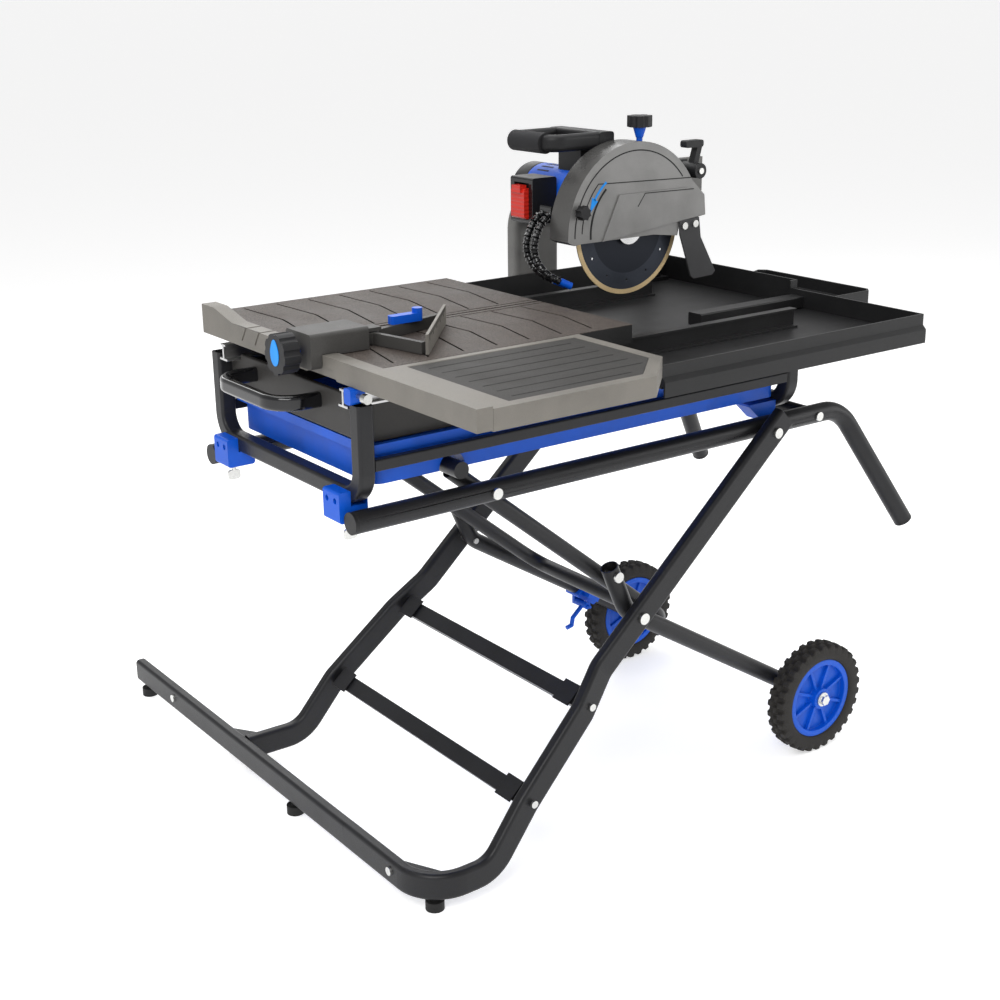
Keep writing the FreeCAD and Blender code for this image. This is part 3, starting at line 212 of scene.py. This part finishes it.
def make_table_speckle_and_groove_shade():
    surface = Surface("table_speckle_and_groove_shade", (0.062, 0.050, 0.043), 0.58, 420, 0.8, 0.75)
    surface.speckle((0.17, 0.145, 0.125), 620.0, 0.17)
    # Painted shade: the table's grooves, and with them every part of the plate below 964 mm, are darkened
    # nearly to black.
    groove_shade_mask = surface.below("Z", 0.9640)
    surface.color = surface.blend("MIX", surface.color, (0.006, 0.006, 0.006, 1.0), groove_shade_mask)
    return surface.finish()


def blade_finish():
    surface = Surface("blade_steel", (0.040, 0.046, 0.060), 0.36, 700, 0.06, 0.15, 0.6)
    distance = surface.from_point(spot(ARBOR[0], 0, ARBOR[1]))
    inner = surface.math("LESS_THAN", distance, 0.086)
    surface.color = surface.blend("MIX", surface.color, (0.020, 0.023, 0.031, 1.0), inner)
    return surface.finish()


def red_ribs(surface):
    """Moulded ribs across the paddle's face."""
    wave = surface.tree.nodes.new("ShaderNodeTexWave")
    wave.bands_direction = "Z"
    wave.inputs["Scale"].default_value = 40.0
    surface.link(surface.place, wave.inputs["Vector"])
    bump = surface.tree.nodes.new("ShaderNodeBump")
    bump.inputs["Strength"].default_value = 0.5
    bump.inputs["Distance"].default_value = 0.0012
    surface.link(wave.outputs["Fac"], bump.inputs["Height"])
    surface.link(surface.bump.outputs["Normal"], bump.inputs["Normal"])
    surface.link(bump.outputs["Normal"], surface.shader.inputs["Normal"])


wing_grey = Surface("wing_grey", (0.034, 0.032, 0.030), 0.62, 1500, 0.3, 0.3)
table_surface_and_groove_shade = make_table_speckle_and_groove_shade()
blade_steel = blade_finish()
red_ribs(red)

NODE_FINISH = {
    "top_tubes": powder, "end_plugs": plastic, "frame_fasteners": zinc, "u_frames": powder,
    "side_rails": powder, "clamp_blocks": blue, "water_pan": blue, "pump": plastic,
    "deck_shell": panel_grey, "front_panel": panel_grey, "slide_rails": aluminium,
    "splash_tray": tray_black, "rear_tray": tray_black, "support_column": arm_grey,
    "support_brackets": tray_black, "foot_leg_near": powder, "foot_leg_far": powder,
    "base_crossbar": powder, "rungs": powder, "leg_bolts": zinc, "rubber_feet": foot_rubber,
    "wheel_legs": powder, "wheel_leg_bolts": zinc, "latch_body": blue, "latch_lever": blue,
    "hub_near": blue, "hub_far": blue, "yoke": powder, "table_plate": table_surface_and_groove_shade,
    "table_runners": tray_black, "fence": cast, "side_wing": cast, "table_lock_pin": zinc,
    "guide_block": dark_grey, "guide_knob": plastic, "mitre_frame": dark_grey,
    "ruler_plate": cast, "mitre_lever": blue, "blade_guard": guard_grey, "belt_case": plastic,
    "motor_housing": blue, "motor_stator": laminate, "motor_end_cap": plastic,
    "switch_box": plastic, "d_handle": plastic, "coolant_hoses": gloss,
    "coolant_nozzles": blue, "splash_flap": flap_grey, "head_fasteners": zinc,
    "drive_belt": foot_rubber, "blade_core": blade_steel, "blade_rim": gold, "arbor": chrome,
    "motor_rotor": laminate, "switch_paddle": red, "depth_knob": plastic, "guard_knob": plastic,
    "lock_lever": plastic, "tyre_near": rubber, "tyre_far": rubber,
}


def dress(name, surface):
    node = NODES[name]
    node.data.materials.clear()
    node.data.materials.append(surface.material)


def repaint(name, surface, test):
    """Gives a second finish to the faces whose centre, in the CAD layout's millimetres, passes the test."""
    mesh = NODES[name].data
    mesh.materials.append(surface.material)
    index = len(mesh.materials) - 1
    for face in mesh.polygons:
        centre = face.center * 1000.0 - SHIFT
        if test(centre):
            face.material_index = index


def soften(name, width, angle):
    """Merges the imported seams and rounds the sharp edges a little, so that they catch the light.

    The angle is in degrees, and the width in metres.
    """
    node = NODES[name]
    weld = node.modifiers.new("seams", "WELD")
    weld.merge_threshold = 0.00001
    bevel = node.modifiers.new("edges", "BEVEL")
    bevel.width = width
    bevel.segments = 2
    bevel.limit_method = "ANGLE"
    bevel.angle_limit = math.radians(angle)
    for face in node.data.polygons:
        face.use_smooth = True
    normals = node.modifiers.new("normals", "WEIGHTED_NORMAL")
    normals.mode = "FACE_AREA"
    normals.weight = 100
    normals.keep_sharp = True


ROUNDED = {
    "top_tubes": 0.8, "end_plugs": 2.2, "frame_fasteners": 1.4, "u_frames": 1.0, "clamp_blocks": 1.5,
    "water_pan": 1.5, "front_panel": 1.5, "slide_rails": 0.4, "splash_tray": 1.0, "rear_tray": 1.2,
    "support_column": 3.0, "support_brackets": 1.2, "base_crossbar": 0.8, "rungs": 1.6,
    "leg_bolts": 1.3, "rubber_feet": 2.0, "wheel_leg_bolts": 1.3, "latch_body": 1.6, "hub_near": 1.2,
    "hub_far": 1.2, "table_plate": 0.6, "fence": 1.6, "side_wing": 1.2, "guide_block": 1.8,
    "guide_knob": 1.5, "mitre_frame": 1.0, "ruler_plate": 0.6, "mitre_lever": 1.8, "blade_guard": 2.0,
    "belt_case": 1.5, "motor_housing": 1.0, "motor_end_cap": 4.0, "switch_box": 1.5, "d_handle": 1.5,
    "splash_flap": 0.8, "head_fasteners": 1.5, "arbor": 0.8, "switch_paddle": 1.2, "depth_knob": 1.5,
    "guard_knob": 1.2, "lock_lever": 2.0, "side_rails": 0.6, "coolant_nozzles": 0.8,
}


def dress_all():
    for name, surface in NODE_FINISH.items():
        dress(name, surface)
    for name, width in ROUNDED.items():
        soften(name, width / 1000.0, 40.0)
    repaint("front_panel", gloss, lambda p: p.x < -553)
    repaint("d_handle", foam, lambda p: p.x < 62 and 79 < p.y < 159)
    repaint("depth_knob", blue, lambda p: p.z < 1269)
    repaint("fence", marks_and_slot_shade, lambda p: p.x < -567 and p.x > FENCE_SKIN and p.z > 969)
    repaint("guide_knob", blue, lambda p: p.x > -609)
    repaint("switch_box", gloss, lambda p: p.x < 38.5)
    repaint("blade_guard", rim_grey, on_guard_rim)


def on_guard_rim(p):
    reach = math.hypot(p.x - ARBOR[0], p.z - ARBOR[1])
    return reach > 163.5 and -25.5 < p.y < 29.5


# ------------------------------------------------------------------ mesh pieces

def piece(name, verts, faces, surface, body, smooth=True):
    mesh = bpy.data.meshes.new(name)
    mesh.from_pydata([tuple(v) for v in verts], [], faces)
    mesh.update()
    for face in mesh.polygons:
        face.use_smooth = smooth
    mesh.materials.append(surface.material)
    made = bpy.data.objects.new(name, mesh)
    bpy.context.scene.collection.objects.link(made)
    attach(made, body)
    return made


def ease(value):
    value = max(0.0, min(1.0, value))
    return value * value * (3 - 2 * value)


TREAD_COUNT = 30
CARCASS_RADIUS = 111.5
RIM_RADIUS = 84.0
AXLE = (470.0, 118.0)


def tread_height(turn, across):
    """Share of a lug's height at a share of a turn and a place across the tyre from -1 to 1."""
    best = 0.0
    for low, high, offset in ((-0.92, -0.30, 0.0), (-0.22, 0.22, 0.5), (0.30, 0.92, 0.0)):
        inside = min(across - low, high - across) / 0.08
        phase = (turn * TREAD_COUNT + offset) % 1.0
        slant = 0.10 * (across if offset == 0.0 else 0.0)
        edge = (0.33 - abs(phase - 0.5 - slant)) / 0.10
        best = max(best, ease(inside) * ease(edge))
    return best


def tyre_profile():
    """Across position in mm, radius in mm and lug share round the tyre's section, from bead to bead."""
    rows = [(-17.0, RIM_RADIUS, 0), (-20.5, 86.0, 0), (-22.0, 92.0, 0), (-22.0, 99.0, 0)]
    rows += [(-21.5, 103.0, 0.5), (-20.6, 107.5, 0.9)]
    steps = 30
    for index in range(steps + 1):
        across = -20.0 + 40.0 * index / steps
        rows.append((across, CARCASS_RADIUS - 0.004 * across * across, 1))
    rows += [(20.6, 107.5, 0.9), (21.5, 103.0, 0.5)]
    rows += [(22.0, 99.0, 0), (22.0, 92.0, 0), (20.5, 86.0, 0), (17.0, RIM_RADIUS, 0)]
    return rows


def make_tyre(side, centre_y):
    rows = tyre_profile()
    turns = TREAD_COUNT * 14
    verts = []
    faces = []
    for step in range(turns):
        turn = step / turns
        angle = math.tau * turn
        for across, radius, share in rows:
            place = max(-0.92, min(0.92, across / 20.0))
            height = 6.4 * tread_height(turn, place * (0.86 if abs(across) > 19.9 else 0.92))
            reach = radius + height * share
            x = AXLE[0] + reach * math.cos(angle)
            verts.append(spot(x, centre_y + across, AXLE[1] + reach * math.sin(angle)))
    width = len(rows)
    for step in range(turns):
        here = step * width
        there = ((step + 1) % turns) * width
        for index in range(width - 1):
            faces.append((here + index, there + index, there + index + 1, here + index + 1))
        faces.append((here + width - 1, there + width - 1, there, here))
    made = piece("tread_tyre_" + side, verts, faces, rubber, "wheel_" + side)
    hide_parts("tyre_" + side)


def slab(name, outline, front, depth, surface, body):
    """A flat outline of (x, z) points standing on a plane of constant y, given in the CAD layout."""
    count = len(outline)
    verts = [spot(x, front, z) for x, z in outline] + [spot(x, front + depth, z) for x, z in outline]
    faces = [tuple(range(count)), tuple(range(2 * count - 1, count - 1, -1))]
    for index in range(count):
        after = (index + 1) % count
        faces.append((index, index + count, after + count, after))
    return piece(name, verts, faces, surface, body, False)


def band(path, width):
    """Outline of a strip of constant width along (x, z) points."""
    left = []
    right = []
    for index, (x, z) in enumerate(path):
        before = path[max(0, index - 1)]
        after = path[min(len(path) - 1, index + 1)]
        length = math.hypot(after[0] - before[0], after[1] - before[1])
        nx = -(after[1] - before[1]) / length * width / 2
        nz = (after[0] - before[0]) / length * width / 2
        left.append((x + nx, z + nz))
        right.append((x - nx, z - nz))
    return left, right


def strip(name, path, width, front, depth, surface, body):
    left, right = band(path, width)
    verts = []
    for (lx, lz), (rx, rz) in zip(left, right):
        verts += [spot(lx, front, lz), spot(rx, front, rz)]
        verts += [spot(rx, front + depth, rz), spot(lx, front + depth, lz)]
    faces = []
    for index in range(len(path) - 1):
        here = 4 * index
        for corner in range(4):
            after = (corner + 1) % 4
            faces.append((here + corner, here + 4 + corner, here + 4 + after, here + after))
    faces.append((0, 1, 2, 3))
    last = 4 * (len(path) - 1)
    faces.append((last + 3, last + 2, last + 1, last))
    return piece(name, verts, faces, surface, body, False)


def arc(radius, start, end, steps=24):
    """Points round the arbor, angles in degrees."""
    points = []
    for index in range(steps + 1):
        angle = math.radians(start + (end - start) * index / steps)
        points.append((ARBOR[0] + radius * math.cos(angle), ARBOR[1] + radius * math.sin(angle)))
    return points


def make_guard_trim():
    outer = [(334, 1168), (100, 1174)] + arc(133, 136, 178)
    strip("guard_line_outer", outer, 1.8, GUARD_FACE - 0.5, 0.6, marks_and_slot_shade, "head")
    rim = arc(150, 38, 181, 60)
    strip("guard_line_rim", rim, 2.2, GUARD_FACE - 0.5, 0.6, marks_and_slot_shade, "head")
    step = [(340, 1146), (214, 1148), (196, 1124)]
    strip("guard_line_step", step, 1.6, PANEL_FACE - 0.5, 0.6, marks_and_slot_shade, "head")
    sweep = arc(112, 132, 184)
    strip("guard_line_sweep", sweep, 4.0, GUARD_FACE - 0.5, 0.6, marks_and_slot_shade, "head")
    shaft = arc(122, 128, 148, 14)
    strip("rotation_mark_shaft", shaft, 4.5, GUARD_FACE - 0.6, 0.7, arrow_blue, "head")
    tip = arc(122, 160, 160, 1)[0]
    base_out = arc(130, 147, 147, 1)[0]
    base_in = arc(114, 147, 147, 1)[0]
    head = [tip, base_out, base_in]
    slab("rotation_mark_head", head, GUARD_FACE - 0.6, 0.7, arrow_blue, "head")


def make_plate(name, outline, low, high, surface, body):
    """A flat plate over an outline of (x, y) points, between two heights."""
    count = len(outline)
    verts = [spot(x, y, high) for x, y in outline] + [spot(x, y, low) for x, y in outline]
    faces = [tuple(range(count)), tuple(range(2 * count - 1, count - 1, -1))]
    for index in range(count):
        after = (index + 1) % count
        faces.append((index, index + count, after + count, after))
    return piece(name, verts, faces, surface, body, False)


def make_wing_panel():
    outline = [(-501.4, -551.4), (-246.4, -551.4), (-165.6, -473.6), (-165.6, -284.6), (-501.4, -284.6)]
    make_plate("wing_panel", outline, 962.9, 964.0, wing_grey, "table")
    for index in range(7):
        y = -530 + 36 * index
        far = -196 if y > -500 else -250
        line = [(-480, y), (far, y), (far, y + 1.6), (-480, y + 1.6)]
        make_plate("wing_line_%d" % index, line, 963.9, 964.4, marks_and_slot_shade, "table")


def make_knob_face():
    """Drop-shaped inlay on the front of the guide's knob."""
    count = 32
    verts = []
    for x in (KNOB_FACE - 0.9, KNOB_FACE + 0.5):
        for index in range(count):
            angle = math.tau * index / count
            reach = 19.0 * (1 + 0.30 * max(0.0, math.sin(angle)) ** 6)
            across = KNOB_CENTRE[0] + reach * 0.72 * math.cos(angle)
            verts.append(spot(x, across, KNOB_CENTRE[1] + reach * math.sin(angle)))
    faces = [tuple(range(count - 1, -1, -1)), tuple(range(count, 2 * count))]
    for index in range(count):
        after = (index + 1) % count
        faces.append((index, after, after + count, index + count))
    piece("knob_inlay", verts, faces, arrow_blue, "guide_clamp", False)


def make_ruler_marks():
    """Plain graduation ticks along the ruler's outer face."""
    start = Vector((-436.0, -232.0, 0.0))
    end = Vector((-286.0, -60.0, 0.0))
    along = (end - start).normalized()
    outward = Vector((along.y, -along.x, 0.0))
    face = outward * RULER_FACE
    for index in range(TICK_COUNT):
        foot = start + along * (8 + index * 11.6) + face
        height = 12.0 if index % 4 == 0 else 7.0
        half = along * 0.6
        verts = []
        for depth in (0.0, 0.35):
            push = outward * depth
            for side, z in ((-1, 0), (1, 0), (1, height), (-1, height)):
                corner = foot + half * side + push
                verts.append(spot(corner.x, corner.y, RULER_TOP - z))
        faces = [(0, 1, 2, 3), (7, 6, 5, 4), (0, 4, 5, 1), (1, 5, 6, 2), (2, 6, 7, 3), (3, 7, 4, 0)]
        piece("ruler_tick_%02d" % index, verts, faces, marks_and_slot_shade, "mitre", False)


def make_motor_slot_shade():
    """Cooling slots round the motor's blue housing, drawn as thin black boxes on its surface: painted shade
    where the slots' dark openings are.
    """
    verts = []
    faces = []
    for index in range(SLOT_COUNT):
        angle = math.tau * index / SLOT_COUNT
        base = len(verts)
        for reach in (MOTOR_RADIUS - 0.4, MOTOR_RADIUS + 0.25):
            for y in (150.0, 186.0):
                for turn in (-0.035, 0.035):
                    x = MOTOR[0] + reach * math.cos(angle + turn)
                    z = MOTOR[1] + reach * math.sin(angle + turn)
                    verts.append(spot(x, y, z))
        quads = ((0, 1, 3, 2), (4, 6, 7, 5), (0, 4, 5, 1), (1, 5, 7, 3), (3, 7, 6, 2), (2, 6, 4, 0))
        faces += [tuple(base + corner for corner in quad) for quad in quads]
    # Painted shade: black boxes where the slots' openings are.
    piece("motor_slots", verts, faces, marks_and_slot_shade, "head", False)


def make_pieces():
    make_tyre("near", -296.0)
    make_tyre("far", 296.0)
    make_guard_trim()
    make_wing_panel()
    make_knob_face()
    make_ruler_marks()
    make_motor_slot_shade()


# ------------------------------------------------------------------ stage

def make_floor():
    mesh = bpy.data.meshes.new("floor")
    size = 400.0
    corners = [(-size, -size, 0), (size, -size, 0), (size, size, 0), (-size, size, 0)]
    mesh.from_pydata(corners, [], [(0, 1, 2, 3)])
    floor = bpy.data.objects.new("floor", mesh)
    bpy.context.scene.collection.objects.link(floor)
    material = bpy.data.materials.new("floor_pale")
    material.use_nodes = True
    shader = material.node_tree.nodes["Principled BSDF"]
    shader.inputs["Base Color"].default_value = (0.84, 0.84, 0.84, 1.0)
    shader.inputs["Roughness"].default_value = 0.8
    shader.inputs["Specular IOR Level"].default_value = 0.2
    shader.inputs["Emission Color"].default_value = (1.0, 1.0, 1.0, 1.0)
    shader.inputs["Emission Strength"].default_value = 0.5
    mesh.materials.append(material)


def area_light(name, place, target, size, power):
    data = bpy.data.lights.new(name, "AREA")
    data.shape = "RECTANGLE"
    data.size, data.size_y = size
    data.energy = power
    lamp = bpy.data.objects.new(name, data)
    lamp.location = place
    lamp.rotation_euler = (Vector(target) - Vector(place)).to_track_quat("-Z", "Y").to_euler()
    bpy.context.scene.collection.objects.link(lamp)


def make_lights():
    area_light("key", (-3.2, -2.4, 3.6), (0, 0, 0.7), (2.6, 2.6), 125)
    area_light("top", (0.2, 0.4, 4.2), (0, 0, 0.6), (4.0, 3.0), 95)
    area_light("side", (3.4, -2.6, 2.2), (0, 0, 0.7), (2.2, 2.6), 50)
    area_light("back", (1.2, 3.8, 2.8), (0, 0, 0.8), (3.0, 2.0), 50)
    world = bpy.data.worlds.new("studio")
    bpy.context.scene.world = world
    world.use_nodes = True
    world.node_tree.nodes["Background"].inputs["Color"].default_value = (1, 1, 1, 1)
    glow = world.node_tree.nodes.new("ShaderNodeMapRange")
    glow.inputs["From Max"].default_value = 0.35
    glow.inputs["To Min"].default_value = 0.95
    glow.inputs["To Max"].default_value = 0.45
    split = world.node_tree.nodes.new("ShaderNodeSeparateXYZ")
    place = world.node_tree.nodes.new("ShaderNodeTexCoord")
    world.node_tree.links.new(place.outputs["Generated"], split.inputs["Vector"])
    world.node_tree.links.new(split.outputs["Z"], glow.inputs["Value"])
    world.node_tree.links.new(glow.outputs["Result"], world.node_tree.nodes["Background"].inputs["Strength"])


def make_camera():
    data = bpy.data.cameras.new("camera")
    data.sensor_width = 36.0
    data.lens = 56.476
    camera = bpy.data.objects.new("camera", data)
    right = Vector((0.80570, -0.59222, -0.01093))
    up = Vector((0.19597, 0.24911, 0.94844))
    forward = Vector((0.55896, 0.76630, -0.31676))
    turn = Matrix((right, up, -forward)).transposed()
    camera.matrix_world = Matrix.Translation(spot(-1802.5, -2310.3, 1545.0)) @ turn.to_4x4()
    bpy.context.scene.collection.objects.link(camera)
    bpy.context.scene.camera = camera


dress_all()
make_pieces()
make_floor()
make_lights()
make_camera()
bpy.context.scene.view_settings.view_transform = "Standard"
